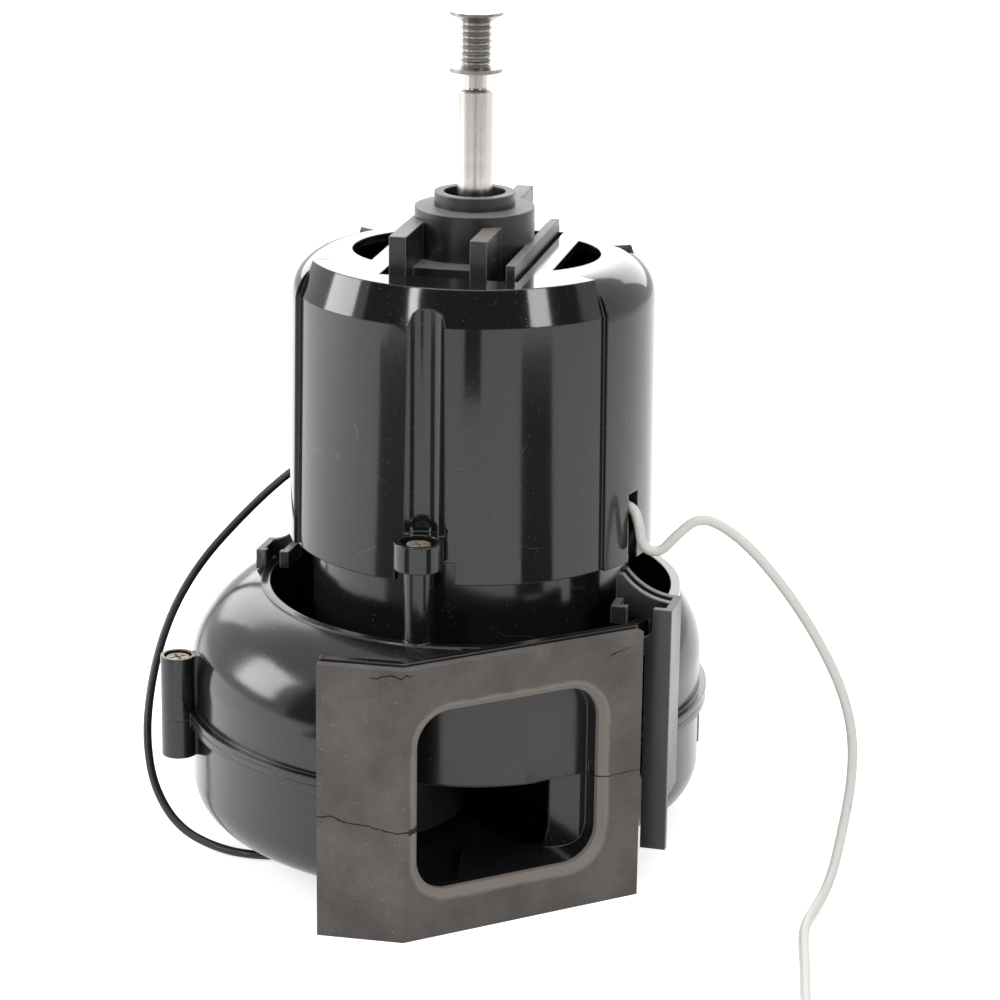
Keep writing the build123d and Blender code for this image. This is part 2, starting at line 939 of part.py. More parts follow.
def cooling_fan():
    body = tube(fan_hub_radius, shaft_radius, fan_floor, fan_top)
    body += tube(fan_radius, shaft_radius, fan_top - fan_disc, fan_top)
    for number in range(fan_blades):
        blade = slab(fan_hub_radius - wall, fan_radius, -fan_blade / 2, fan_blade / 2, fan_floor, fan_top)
        body += Rot(0, 0, full_turn / fan_blades * number) * blade
    return body


# Each blade follows one arc from the hub to the rim, swept back from the turn
def impeller():
    body = tube(impeller_hub_radius, tail_radius, impeller_hub_floor, impeller_top)
    body += tube(impeller_radius, tail_radius, impeller_top - impeller_plate, impeller_top)
    bend = impeller_radius * blade_curve_share
    for number in range(impeller_blades):
        ring = tube(
            bend,
            bend - impeller_blade,
            impeller_floor,
            impeller_top,
            impeller_blade_start,
            -bend + impeller_blade / 2,
        )
        keep = slab(
            impeller_blade_start,
            impeller_radius,
            -impeller_radius,
            impeller_radius,
            impeller_floor,
            impeller_top,
        )
        blade = ring & keep & rod(impeller_radius, impeller_floor, impeller_top)
        upper = slab(0, impeller_radius, -bend, impeller_blade, impeller_floor, impeller_top)
        body += Rot(0, 0, full_turn / impeller_blades * number) * (blade & upper)
    return body - rod(tail_radius, impeller_floor - overrun, impeller_top + overrun)


def impeller_sleeve():
    return tube(sleeve_radius, tail_radius, impeller_top, tail_top)


def impeller_washer():
    return tube(washer_radius, tail_radius, impeller_hub_floor - washer, impeller_hub_floor)


def impeller_nut():
    top = impeller_hub_floor - washer
    face = Pos(0, 0, top - nut_height) * RegularPolygon(nut_radius, 6)
    nut = extrude(face, nut_height, dir=(0, 0, 1))
    return nut - rod(tail_radius, top - nut_height - overrun, top + overrun)


# Motor body
def motor_cradle():
    body = rod(cradle_radius, cradle_floor, cradle_top)
    hollow = rod(stack_radius, stack_floor, cradle_top + overrun)
    hollow += rod(stack_radius - cradle_wall, cradle_floor + cradle_plate, stack_floor)
    body -= hollow
    body += rod(cradle_hub_radius, cradle_floor, cradle_hub_top)
    body -= rod(bearing_radius, lower_bearing_floor, cradle_hub_top + overrun)
    body -= rod(bearing_radius - wall / 2, cradle_floor - overrun, cradle_hub_top)
    for number in range(cradle_port_count):
        x, y = polar(cradle_port_reach, full_turn / cradle_port_count * number)
        body -= rod(cradle_port_radius, cradle_floor - overrun, cradle_floor + 2 * cradle_plate, x, y)
    return body


def stator_core():
    core = tube(stack_radius, stack_bore, stack_floor, stack_top)
    for middle in (right_angle, -right_angle):
        half = right_angle - pole_half
        core -= sector(
            stack_bore - wall,
            slot_radius,
            middle - half,
            2 * half,
            stack_floor - overrun,
            stack_top + overrun,
        )
    for middle in (0, half_turn):
        for side in (-1, 1):
            low = min(side * pole_half, side * slot_edge_half)
            sweep = slot_edge_half - pole_half
            core -= sector(
                stack_bore + wall,
                slot_radius,
                middle + low,
                sweep,
                stack_floor - overrun,
                stack_top + overrun,
            )
        x, y = polar((leg_inner + leg_outer) / 2, middle)
        core -= rod(screw_radius + screw_clearance, stack_floor - overrun, stack_top + overrun, x, y)
    return in_tower(core)


def field_coil(middle):
    inner = stack_bore + 2 * wall
    outer = slot_radius - coil_gap
    window = pole_half + coil_edge_turn
    edge = slot_edge_half - coil_edge_turn
    block = sector(
        inner, outer, middle - edge, 2 * edge, stack_floor - coil_overhang, stack_top + coil_overhang
    )
    block -= sector(
        inner - overrun,
        outer + overrun,
        middle - window,
        2 * window,
        stack_floor - coil_gap,
        stack_top + coil_gap,
    )
    return in_tower(block)


def vibration_ring():
    return tube(ring_outer, ring_inner, deck_height, cradle_floor)


def shaft_seal():
    return tube(seal_radius, sleeve_radius + running_gap, deck_height, cradle_floor)


def thermal_cutout():
    half = cutout_switch_length / 2
    deep = cutout_switch_depth / 2
    block = slab(
        cutout_switch_reach - deep,
        cutout_switch_reach + deep,
        -half,
        half,
        stack_top,
        stack_top + cutout_switch_height,
    )
    return in_tower(Rot(0, 0, cutout_switch_angle) * block)


# Brushes lie across the tower's length, on the line through the commutator
def across(shape, side):
    return in_tower(Rot(0, 0, side * right_angle) * shape)


def carbon_brush(side):
    end = brush_start + brush_length
    block = slab(
        brush_start, end, -brush_half, brush_half, brush_height - brush_half, brush_height + brush_half
    )
    return across(block, side)


def brush_holder(side):
    inner = brush_half + running_gap
    outer = inner + holder_wall
    body = slab(holder_start, holder_end, -outer, outer, brush_height - outer, brush_height + outer)
    body -= slab(
        holder_start - overrun,
        holder_end - holder_cap,
        -inner,
        inner,
        brush_height - inner,
        brush_height + inner,
    )
    return across(body, side)


def brush_spring(side):
    start = brush_start + brush_length + running_gap
    end = holder_end - holder_cap - running_gap
    body = Pos(start, 0, brush_height) * Rot(0, right_angle, 0) * rod(spring_radius, 0, end - start)
    core = spring_radius - 2 * spring_wire
    hole = Pos(start, 0, brush_height) * Rot(0, right_angle, 0) * rod(core, -overrun, end - start + overrun)
    return across(body - hole, side)


# Fasteners
def cover_screw(turn):
    x, y = polar(post_reach, flute_angle + turn)
    top = post_top + collar_height - screw_recess + screw_head
    return Pos(x, y) * screw(top, screw_depth)


def bridge_screw(side):
    x = side * (leg_inner + leg_outer) / 2
    top = bridge_floor + bridge_plate + screw_head
    length = top - screw_head - stack_top + screw_depth
    return in_tower(Pos(x, 0) * screw(top, length))


def housing_screw(angle):
    x, y = lug_place(angle)
    top = lug_top - wall / 4
    length = top - screw_head - lug_floor - 2 * wall
    return Pos(x, y) * screw(top, length)


# Wire channels: a front panel with a round notch, an outer side and a back
# panel whose top edge sweeps down from the cover
def wire_channel(width, depth, inner_depth):
    notch = notch_width_share * width
    middle = notch_start_share * width + notch / 2
    bottom = bracket_top - notch_depth + notch / 2
    body = slab(0, width, 0, bracket_wall, bracket_floor, bracket_top)
    left = middle - notch / 2
    body -= slab(left, left + notch, -overrun, bracket_wall + overrun, bottom, bracket_top + overrun)
    body -= Pos(middle, 0, bottom) * Rot(right_angle, 0, 0) * rod(notch / 2, -2 * bracket_wall, bracket_wall)
    body += slab(width - bracket_wall, width, 0, depth, bracket_side_floor, bracket_top)
    body += slab(0, bracket_wall, 0, inner_depth, bracket_floor, bracket_top)
    return body + swept_panel(width, depth)


def swept_panel(width, depth):
    panel = slab(0, width, depth - bracket_wall, depth, bracket_floor, bracket_back_top)
    radius = sweep_radius_share * width
    centre = Pos(sweep_centre_share * width, depth, bracket_top + radius) * Rot(right_angle, 0, 0)
    panel -= centre * rod(radius, -overrun, bracket_wall + overrun)
    start = sweep_centre_share * width
    return panel - slab(start, 2 * width, 0, 2 * depth, bracket_top, bracket_back_top + overrun)


def clear_of_housing(body):
    body -= rod(well_radius + wall + running_gap, 0, housing_top + seam_gap)
    return body - scroll_body(-running_gap) - seam_clip(running_gap)


def right_wire_bracket():
    body = wire_channel(bracket_width, bracket_depth, bracket_middle_depth)
    body += swept_panel(bracket_width, bracket_middle_depth)
    leg_start = bracket_width - bracket_leg_width
    body += slab(leg_start, bracket_width, 0, bracket_wall, bracket_leg_floor, bracket_floor)
    return clear_of_housing(Pos(bracket_x, bracket_y) * Rot(0, 0, flute_angle + right_angle) * body)


def left_wire_guide():
    body = mirror(wire_channel(guide_width, guide_depth, guide_depth), about=Plane.YZ)
    return clear_of_housing(Pos(guide_x, guide_y) * Rot(0, 0, flute_angle + right_angle) * body)


def rating_plate():
    radius = scroll_tight_radius
    plate = sector(
        radius,
        radius + plate_thickness,
        plate_angle - plate_half_sweep,
        2 * plate_half_sweep,
        plate_floor,
        plate_top,
    )
    return Pos(*tight_centre()) * plate


# Leads: straight runs joined by arcs as large as the runs allow
def lead_path(name, route):
    points = [Vector(*point) for point in route]
    radii = []
    for before, here, after in zip(points, points[1:], points[2:]):
        run_in = here - before
        run_out = after - here
        shorter = min(run_in.length, run_out.length)
        turn = radians(run_in.get_angle(run_out))
        radii.append(bend_share * shorter / tan(turn / 2))
    print(name, "radii", [round(radius, 1) for radius in radii])
    return FilletPolyline(*points, radius=radii)


def lead(name, route, radius):
    path = lead_path(name, route)
    plane = Plane(origin=path @ 0, z_dir=path % 0)
    body = sweep(plane * Circle(radius), path=path)
    length = path.length
    share = body.volume / (pi * radius ** 2 * length)
    print(name, "length", round(length, 1), "volume share", round(share, 4))
    return body


def lead_points(route, slot_turn):
    x, y = polar(lead_start, flute_angle + lead_slot_angle + slot_turn)
    return [(x, y, route[0][2])] + route


def terminal(route, radius):
    end = Vector(*route[-1])
    way = end - Vector(*route[-2])
    heading = degrees(atan2(way.Y, way.X))
    barrel = Rot(0, right_angle, 0) * rod(radius, 0, terminal_barrel)
    blade = slab(
        terminal_barrel / 2,
        terminal_barrel + terminal_blade,
        -terminal_width / 2,
        terminal_width / 2,
        -terminal_thickness / 2,
        terminal_thickness / 2,
    )
    return Pos(end.X, end.Y, end.Z) * Rot(0, 0, heading) * (barrel + blade)


def all_pieces():
    shell = housing_shell()
    black_points = lead_points(black_route, -half_turn)
    white_points = lead_points(white_route, 0)
    pieces = {
        "lower_fan_housing": lower_fan_housing(shell),
        "upper_fan_housing": upper_fan_housing(shell),
        "outlet_gasket": outlet_gasket(),
        "vibration_ring": vibration_ring(),
        "shaft_seal": shaft_seal(),
        "motor_cradle": motor_cradle(),
        "stator_core": stator_core(),
        "field_coil_front": field_coil(0),
        "field_coil_rear": field_coil(half_turn),
        "thermal_cutout": thermal_cutout(),
        "bearing_bridge": bearing_bridge(),
        "upper_bearing_outer_race": outer_race(upper_bearing_floor()),
        "upper_bearing_inner_race": inner_race(upper_bearing_floor()),
        "upper_bearing_balls": ball_set(upper_bearing_floor()),
        "lower_bearing_outer_race": outer_race(lower_bearing_floor),
        "lower_bearing_inner_race": inner_race(lower_bearing_floor),
        "lower_bearing_balls": ball_set(lower_bearing_floor),
        "motor_cover": motor_cover(),
        "rotor_shaft": rotor_shaft(),
        "drive_pulley": drive_pulley(),
        "armature_core": armature_core(),
        "armature_winding": armature_winding(),
        "commutator": commutator(),
        "cooling_fan": cooling_fan(),
        "impeller": impeller(),
        "impeller_sleeve": impeller_sleeve(),
        "impeller_washer": impeller_washer(),
        "impeller_nut": impeller_nut(),
        "right_wire_bracket": right_wire_bracket(),
        "left_wire_guide": left_wire_guide(),
        "rating_plate": rating_plate(),
        "black_lead": lead("black_lead", black_points, black_lead_radius),
        "black_lead_terminal": terminal(black_points, black_lead_radius),
        "white_lead": lead("white_lead", white_points, white_lead_radius),
        "white_lead_terminal": terminal(white_points, white_lead_radius),
    }
    for name, side in (("left", -1), ("right", 1)):
        pieces["carbon_brush_" + name] = carbon_brush(side)
        pieces["brush_holder_" + name] = brush_holder(side)
        pieces["brush_spring_" + name] = brush_spring(side)
    for name, turn in (("front", 0), ("rear", half_turn)):
        pieces["cover_screw_" + name] = cover_screw(turn)
    for name, side in (("front", 1), ("rear", -1)):
        pieces["bridge_screw_" + name] = bridge_screw(side)
    for name, angle in zip(("left", "rear", "right"), lug_angles):
        pieces["housing_screw_" + name] = housing_screw(angle)
    return pieces


os.makedirs("parts", exist_ok=True)
for node, piece in all_pieces().items():
    export_step(piece, "parts/" + node + ".step")
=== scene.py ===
from math import cos, radians, sin

import bmesh
import bpy
from mathutils import Matrix, Vector


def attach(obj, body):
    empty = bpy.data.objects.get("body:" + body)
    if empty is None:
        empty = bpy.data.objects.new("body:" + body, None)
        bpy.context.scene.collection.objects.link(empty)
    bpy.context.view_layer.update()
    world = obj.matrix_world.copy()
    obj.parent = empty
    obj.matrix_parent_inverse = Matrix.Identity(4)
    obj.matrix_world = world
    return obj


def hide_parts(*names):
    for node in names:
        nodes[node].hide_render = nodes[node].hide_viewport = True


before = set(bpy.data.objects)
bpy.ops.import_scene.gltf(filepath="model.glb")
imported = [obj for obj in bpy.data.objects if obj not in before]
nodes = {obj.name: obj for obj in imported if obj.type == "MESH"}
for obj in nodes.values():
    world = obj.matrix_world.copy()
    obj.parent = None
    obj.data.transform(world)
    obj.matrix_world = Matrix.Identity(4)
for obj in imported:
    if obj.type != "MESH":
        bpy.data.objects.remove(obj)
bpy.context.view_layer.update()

# Camera: a 115 mm lens a little under 0.9 m away, looking down on the motor
# from the left of its outlet. The picture is tilted by under one degree.
camera_turn = radians(-28.4)
camera_lift = radians(16.9)
camera_roll = radians(0.76)
camera_distance = 0.889
camera_lens = 115.2
camera_sensor = 36
camera_nearest = 0.01
camera_aim = Vector((0.00695, -0.00376, 0.0969))
side = Vector((cos(camera_turn), sin(camera_turn), 0))
ahead = Vector((-sin(camera_turn) * cos(camera_lift), cos(camera_turn) * cos(camera_lift), -sin(camera_lift)))
lift = side.cross(ahead)
picture_right = side * cos(camera_roll) + lift * sin(camera_roll)
picture_up = lift * cos(camera_roll) - side * sin(camera_roll)
camera_data = bpy.data.cameras.new("camera")
camera_data.lens = camera_lens
camera_data.sensor_width = camera_sensor
camera_data.clip_start = camera_nearest
camera = bpy.data.objects.new("camera", camera_data)
place = Matrix((picture_right, picture_up, -ahead)).transposed().to_4x4()
place.translation = camera_aim - ahead * camera_distance
camera.matrix_world = place
bpy.context.scene.collection.objects.link(camera)
bpy.context.scene.camera = camera


# The two motor leads: stranded copper in a soft plastic skin, one black and
# one white. They come out of the slots under the motor cover, hang in the
# air as they were bent, and lie on the table with a spade terminal each.
class Graph:
    """The nodes of one material, world or group, added and linked."""

    def __init__(self, tree):
        self.tree = tree

    def add(self, kind, **settings):
        node = self.tree.nodes.new(kind)
        for key, value in settings.items():
            setattr(node, key, value)
        return node

    def put(self, value, socket):
        if isinstance(value, bpy.types.NodeSocket):
            self.tree.links.new(value, socket)
        else:
            socket.default_value = value

    def fill(self, kind, inputs, **settings):
        node = self.add(kind, **settings)
        for key, value in inputs.items():
            self.put(value, node.inputs[key])
        return node.outputs

    def maths(self, operation, *values):
        node = self.add("ShaderNodeMath", operation=operation)
        for value, socket in zip(values, node.inputs):
            self.put(value, socket)
        return node.outputs[0]

    def place(self):
        return self.add("ShaderNodeTexCoord").outputs["Object"]

    def noise(self, vector, scale, detail, roughness=0.5):
        inputs = {"Vector": vector, "Scale": scale, "Detail": detail, "Roughness": roughness}
        return self.fill("ShaderNodeTexNoise", inputs)["Fac"]

    def spread(self, value, low, high, start=0.0, end=1.0):
        inputs = {"Value": value, "From Min": low, "From Max": high, "To Min": start, "To Max": end}
        return self.fill("ShaderNodeMapRange", inputs)["Result"]

    def blend(self, first, second, factor):
        inputs = {"A": first, "B": second, "Factor": factor}
        return self.fill("ShaderNodeMix", inputs, data_type="RGBA")["Result"]

    def bump(self, height, strength, distance, normal=None):
        inputs = {"Height": height, "Strength": strength, "Distance": distance}
        if normal is not None:
            inputs["Normal"] = normal
        return self.fill("ShaderNodeBump", inputs)["Normal"]

    def rounded(self, radius, samples):
        return self.fill("ShaderNodeBevel", {"Radius": radius}, samples=samples)["Normal"]

    def mask(self, group, **inputs):
        return self.fill("ShaderNodeGroup", inputs, node_tree=group)["Mask"]


def new_material(name, colour, roughness, metallic=0.0):
    material = bpy.data.materials.new(name)
    material.use_nodes = True
    shader = material.node_tree.nodes["Principled BSDF"].inputs
    shader["Base Color"].default_value = (*colour, 1)
    shader["Roughness"].default_value = roughness
    shader["Metallic"].default_value = metallic
    return material


def node_tools(material):
    shader = material.node_tree.nodes["Principled BSDF"].inputs
    return Graph(material.node_tree), shader


def mask_group(name, *inputs):
    group = bpy.data.node_groups.new(name, "ShaderNodeTree")
    for title in inputs:
        group.interface.new_socket(name=title, in_out="INPUT", socket_type="NodeSocketFloat")
    group.interface.new_socket(name="Mask", in_out="OUTPUT", socket_type="NodeSocketFloat")
    graph = Graph(group)
    start = graph.add("NodeGroupInput").outputs
    end = graph.add("NodeGroupOutput").inputs
    return group, graph, start, end


# Grime: cloudy patches of dust, thicker on faces that look up
def make_grime():
    group, graph, start, end = mask_group("grime", "Scale", "Cover", "Lying")
    cloud = graph.noise(graph.place(), start["Scale"], detail=6, roughness=0.65)
    normal = graph.add("ShaderNodeNewGeometry").outputs["Normal"]
    facing = graph.fill("ShaderNodeSeparateXYZ", {"Vector": normal})["Z"]
    lying = graph.maths("MULTIPLY", graph.maths("MAXIMUM", facing, 0), start["Lying"])
    clean = graph.maths("SUBTRACT", 1, graph.maths("ADD", lying, start["Cover"]))
    softness = 0.35
    mask = graph.spread(cloud, clean, graph.maths("ADD", clean, softness))
    graph.put(mask, end["Mask"])
    return group


# Specks: small separate grains of lint and dust
def make_specks():
    group, graph, start, end = mask_group("specks", "Scale", "Size")
    cells = graph.fill("ShaderNodeTexVoronoi", {"Vector": graph.place(), "Scale": start["Scale"]})
    shade = graph.fill("ShaderNodeSeparateColor", {"Color": cells["Color"]})
    size = graph.maths("MULTIPLY", shade["Red"], start["Size"])
    inside = graph.maths("LESS_THAN", cells["Distance"], size)
    bare_share = 0.93
    chosen = graph.maths("GREATER_THAN", shade["Green"], bare_share)
    graph.put(graph.maths("MULTIPLY", inside, chosen), end["Mask"])
    return group


# Scratches: fine hair lines, in patches
def make_scratches():
    group, graph, start, end = mask_group("scratches", "Scale", "Width")
    turned = {"Vector": graph.place(), "Rotation": (0.5, 0.9, 0.3), "Scale": (1, 0.07, 1)}
    along = graph.fill("ShaderNodeMapping", turned)["Vector"]
    waves = graph.noise(along, start["Scale"], detail=1)
    away = graph.maths("ABSOLUTE", graph.maths("SUBTRACT", waves, 0.5))
    thin = graph.maths("LESS_THAN", away, start["Width"])
    patch = graph.noise(graph.place(), scale=90, detail=2)
    there = graph.spread(patch, low=0.54, high=0.68)
    graph.put(graph.maths("MULTIPLY", thin, there), end["Mask"])
    return group


grime = make_grime()
specks = make_specks()
scratches = make_scratches()
mm_per_metre = 1000


def insulation(name, colour, stain, roughness):
    material = new_material(name, colour, roughness)
    graph, shader = node_tools(material)
    dirt = graph.mask(grime, Scale=140, Cover=0.38, Lying=0.05)
    graph.put(graph.blend((*colour, 1), (*stain, 1), dirt), shader["Base Color"])
    ripple = graph.noise(graph.place(), scale=260, detail=2)
    graph.put(graph.bump(ripple, strength=0.08, distance=0.0004), shader["Normal"])
    return material


def lead_curve(name, route, diameter, material):
    curve = bpy.data.curves.new(name, "CURVE")
    curve.dimensions = "3D"
    curve.bevel_depth = diameter / 2
    curve.bevel_resolution = 5
    curve.use_fill_caps = True
    curve.resolution_u = 10
    spline = curve.splines.new("NURBS")
    spline.points.add(len(route) - 1)
    for point, spot in zip(spline.points, route):
        point.co = (*[value / mm_per_metre for value in spot], 1)
    spline.order_u = 3
    spline.use_endpoint_u = True
    curve.materials.append(material)
    piece = bpy.data.objects.new(name, curve)
    bpy.context.scene.collection.objects.link(piece)
    return piece


black_diameter = 0.0024
white_diameter = 0.0028
black_route = [
    (-23.8, 37.36, 101.0),
    (-28.4, 44.6, 101.0),
    (-36.0, 50.2, 93.6),
    (-46.5, 53.2, 83.4),
    (-58.2, 52.9, 73.0),
    (-67.9, 50.3, 62.2),
    (-75.2, 46.3, 50.6),
    (-80.9, 40.4, 38.6),
    (-83.9, 35.6, 27.2),
    (-84.2, 29.8, 15.2),
    (-80.4, 21.4, 5.4),
    (-72.4, 11.8, 1.25),
    (-64.6, 2.6, 1.25),
    (-55.2, -1.2, 1.25),
    (-46.4, 3.4, 1.25),
    (-42.4, 13.4, 1.25),
    (-42.0, 25.6, 1.25),
    (-39.4, 38.4, 1.25),
    (-33.2, 50.2, 1.25),
    (-24.8, 60.0, 1.25),
    (-17.2, 69.0, 1.25),
]
white_route = [
    (23.8, -37.36, 103.6),
    (26.9, -42.2, 103.6),
    (28.0, -44.2, 98.0),
    (28.6, -45.0, 91.8),
    (32.8, -47.4, 90.4),
    (36.2, -49.2, 95.0),
    (42.0, -52.2, 101.0),
    (48.8, -56.4, 97.6),
    (56.4, -61.0, 89.6),
    (65.4, -67.1, 75.9),
    (72.4, -72.2, 61.6),
    (76.3, -75.6, 50.0),
    (77.4, -78.4, 39.2),
    (75.6, -81.0, 27.6),
    (71.0, -84.2, 15.4),
    (64.6, -89.2, 5.0),
    (56.2, -95.6, 1.45),
    (46.0, -104.6, 1.45),
    (38.4, -115.6, 1.45),
    (31.2, -127.4, 1.45),
    (22.6, -140.3, 1.45),
    (15.4, -153.0, 1.45),
    (10.6, -166.8, 1.45),
    (8.4, -181.4, 1.45),
]
black_skin = insulation(
    "black_insulation",
    colour=(0.012, 0.012, 0.013),
    stain=(0.05, 0.046, 0.042),
    roughness=0.38,
)
white_skin = insulation(
    "white_insulation",
    colour=(0.55, 0.54, 0.51),
    stain=(0.24, 0.21, 0.17),
    roughness=0.42,
)
black_lead = lead_curve("black_lead_skin", black_route, black_diameter, black_skin)
white_lead = lead_curve("white_lead_skin", white_route, white_diameter, white_skin)
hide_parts("black_lead")
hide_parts("white_lead")
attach(black_lead, "unit")
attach(white_lead, "unit")


# Black moulded parts: fan housing halves, motor cover and cradle, bearing
# bridge, wire channels and both fans. They are injection moulded in black
# plastic, glossy outside and satin on the bridge, rubbed and lightly dusty.
def dress(name, *materials):
    slots = nodes[name].data.materials
    slots.clear()
    for material in materials:
        slots.append(material)


dust_colour = (0.34, 0.31, 0.28)
film_share = 0.34
speck_share = 0.36
dust_dulling = 0.6


def moulding(name, colour, shine, dust, lying, edge, grain, scratch):
    material = new_material(name, colour, shine[0])
    graph, shader = node_tools(material)
    place = graph.place()
    film = graph.mask(grime, Scale=45, Cover=dust, Lying=lying)
    grains = graph.mask(specks, Scale=2900, Size=0.30)
    marks = graph.mask(scratches, Scale=40, Width=0.0022)
    corner = graph.rounded(radius=0.0006, samples=6)
    surface = graph.add("ShaderNodeNewGeometry").outputs["Normal"]
    bend = graph.add("ShaderNodeVectorMath", operation="DOT_PRODUCT")
    graph.put(corner, bend.inputs[0])
    graph.put(surface, bend.inputs[1])
    rubbed = graph.spread(bend.outputs["Value"], low=0.995, high=0.80)
    total = graph.maths("MULTIPLY", film, film_share)
    for source, share in ((grains, speck_share), (marks, scratch), (rubbed, edge)):
        total = graph.maths("MAXIMUM", total, graph.maths("MULTIPLY", source, share))
    graph.put(graph.blend((*colour, 1), (*dust_colour, 1), total), shader["Base Color"])
    handling = graph.noise(place, scale=30, detail=5)
    polish = graph.spread(handling, low=0.35, high=0.7, start=shine[0], end=shine[1])
    graph.put(graph.maths("MULTIPLY_ADD", total, dust_dulling, polish), shader["Roughness"])
    skin = graph.noise(place, scale=420, detail=3)
    graph.put(graph.bump(skin, strength=grain, distance=0.0003, normal=corner), shader["Normal"])
    return material


deep_black = (0.008, 0.008, 0.009)
gloss = moulding(
    "gloss_black_moulding", deep_black,
    shine=(0.12, 0.24), dust=0.24, lying=0.16, edge=0.14, grain=0.02, scratch=0.10,
)
cover_gloss = moulding(
    "cover_black_moulding", deep_black,
    shine=(0.07, 0.15), dust=0.12, lying=0.12, edge=0.08, grain=0.01, scratch=0.12,
)
satin = moulding(
    "satin_black_moulding", (0.016, 0.016, 0.017),
    shine=(0.28, 0.42), dust=0.42, lying=0.46, edge=0.48, grain=0.05, scratch=0.30,
)
smoky = moulding(
    "smoky_fan_moulding", (0.02, 0.02, 0.022),
    shine=(0.25, 0.4), dust=0.35, lying=0.2, edge=0.2, grain=0.03, scratch=0.2,
)
for name in ("upper_fan_housing", "lower_fan_housing", "motor_cradle"):
    dress(name, gloss)
dress("motor_cover", cover_gloss)
for name in ("bearing_bridge", "right_wire_bracket", "left_wire_guide", "cooling_fan"):
    dress(name, satin)
dress("impeller", smoky)


# Outlet gasket: a die-cut frame of soft foam rubber glued to the flange. It
# is dry and cracked with age, rubbed tan round the mouth and dusty.
mouth_x = -0.0214
mouth_z = 0.03745
mouth_half_x = 0.0271
mouth_half_z = 0.02505
mouth_round = 0.0095
rim_start = 0.0028
rim_end = 0.0038
rim_raggedness = 0.0016
rim_strength = 0.75
rim_colour = (0.20, 0.175, 0.155, 1)
crack_colour = (0.006, 0.006, 0.006, 1)
crack_depth = 3
lint_colour = (0.40, 0.36, 0.31, 1)
lint_strength = 0.7
# Each crack: left end, right end, height at the left end, slope, sway, half width
crack_lines = (
    (-0.075, -0.0475, 0.0345, -0.16, 0.0030, 0.00022),
    (-0.0515, -0.0475, 0.0305, 0.25, 0.0040, 0.0007),
    (0.0045, 0.019, 0.0362, 0.02, 0.0030, 0.00016),
    (-0.060, -0.050, 0.0735, 0.12, 0.0060, 0.00020),
    (0.008, 0.014, 0.0700, 0.35, 0.0060, 0.00018),
)


def beyond(graph, value, middle, half):
    away = graph.maths("ABSOLUTE", graph.maths("SUBTRACT", value, middle))
    return graph.maths("MAXIMUM", graph.maths("SUBTRACT", away, half), 0)


def mouth_distance(graph, across, high):
    side_out = beyond(graph, across, mouth_x, mouth_half_x - mouth_round)
    top_out = beyond(graph, high, mouth_z, mouth_half_z - mouth_round)
    side_squared = graph.maths("MULTIPLY", side_out, side_out)
    squared = graph.maths("ADD", side_squared, graph.maths("MULTIPLY", top_out, top_out))
    return graph.maths("SUBTRACT", graph.maths("SQRT", squared), mouth_round)


def crack_mask(graph, across, high, wander):
    shaken = graph.maths("SUBTRACT", wander, 0.5)
    cracks = None
    for start_x, end_x, level, slope, sway, width in crack_lines:
        line = graph.maths("MULTIPLY_ADD", graph.maths("SUBTRACT", across, start_x), slope, level)
        line = graph.maths("MULTIPLY_ADD", shaken, sway, line)
        away = graph.maths("ABSOLUTE", graph.maths("SUBTRACT", high, line))
        near = graph.maths("LESS_THAN", away, width)
        after = graph.maths("GREATER_THAN", across, start_x)
        inside = graph.maths("MULTIPLY", after, graph.maths("LESS_THAN", across, end_x))
        crack = graph.maths("MULTIPLY", near, inside)
        cracks = crack if cracks is None else graph.maths("MAXIMUM", cracks, crack)
    return cracks


def foam_rubber():
    material = new_material("worn_foam_rubber", (0.075, 0.068, 0.062), 0.9)
    graph, shader = node_tools(material)
    place = graph.place()
    tone = graph.add("ShaderNodeValToRGB")
    dark, light = tone.color_ramp.elements
    dark.position = 0.36
    dark.color = (0.066, 0.060, 0.057, 1)
    light.position = 0.66
    light.color = (0.108, 0.099, 0.092, 1)
    graph.put(graph.noise(place, scale=60, detail=8, roughness=0.7), tone.inputs["Fac"])
    spot = graph.fill("ShaderNodeSeparateXYZ", {"Vector": place})
    wander = graph.noise(place, scale=170, detail=4)
    away = mouth_distance(graph, spot["X"], spot["Z"])
    ragged = graph.maths("MULTIPLY_ADD", wander, rim_raggedness, away)
    rim = graph.maths("MULTIPLY", graph.spread(ragged, low=rim_end, high=rim_start), rim_strength)
    cracks = crack_mask(graph, spot["X"], spot["Z"], wander)
    lint = graph.maths("MULTIPLY", graph.mask(specks, Scale=2300, Size=0.32), lint_strength)
    rimmed = graph.blend(tone.outputs["Color"], rim_colour, rim)
    cracked = graph.blend(rimmed, crack_colour, cracks)
    graph.put(graph.blend(cracked, lint_colour, lint), shader["Base Color"])
    pores = graph.noise(place, scale=1300, detail=4)
    height = graph.maths("SUBTRACT", pores, graph.maths("MULTIPLY", cracks, crack_depth))
    graph.put(graph.bump(height, strength=0.3, distance=0.0004), shader["Normal"])
    return material


dress("outlet_gasket", foam_rubber())


# Steel pieces: the turned shaft, pulley, nut, washer and sleeve, the ground
# bearing races and balls, the wound brush springs and the plated screws.
stain_shares = (0.45, 0.4, 0.34)


